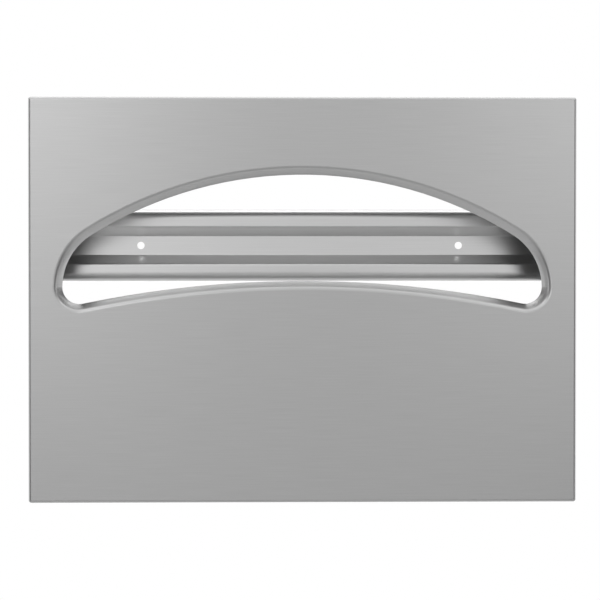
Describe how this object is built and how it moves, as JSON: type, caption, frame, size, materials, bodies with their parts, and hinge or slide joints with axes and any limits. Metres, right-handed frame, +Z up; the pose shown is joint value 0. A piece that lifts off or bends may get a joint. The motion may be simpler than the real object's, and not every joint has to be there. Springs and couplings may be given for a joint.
{
  "type": "toilet seat cover dispenser",
  "caption": "Flat wall-mounted box of satin sheet steel for folded paper toilet seat covers, with a crescent opening in its face and a screw rail across its open back.",
  "frame": {"origin": "on the wall plane, midway between the two screw holes of the mounting rail", "axes": "+X across the width, to the right as the face is seen; +Y into the wall, so the face looks along -Y; +Z up"},
  "size_m": [0.39, 0.051, 0.2885],
  "materials": {
    "satin_steel": "satin, brushed from side to side"
  },
  "bodies": {
    "root": {"body_shell": "satin_steel", "mounting_rail": "satin_steel"}
  },
  "joints": []
}
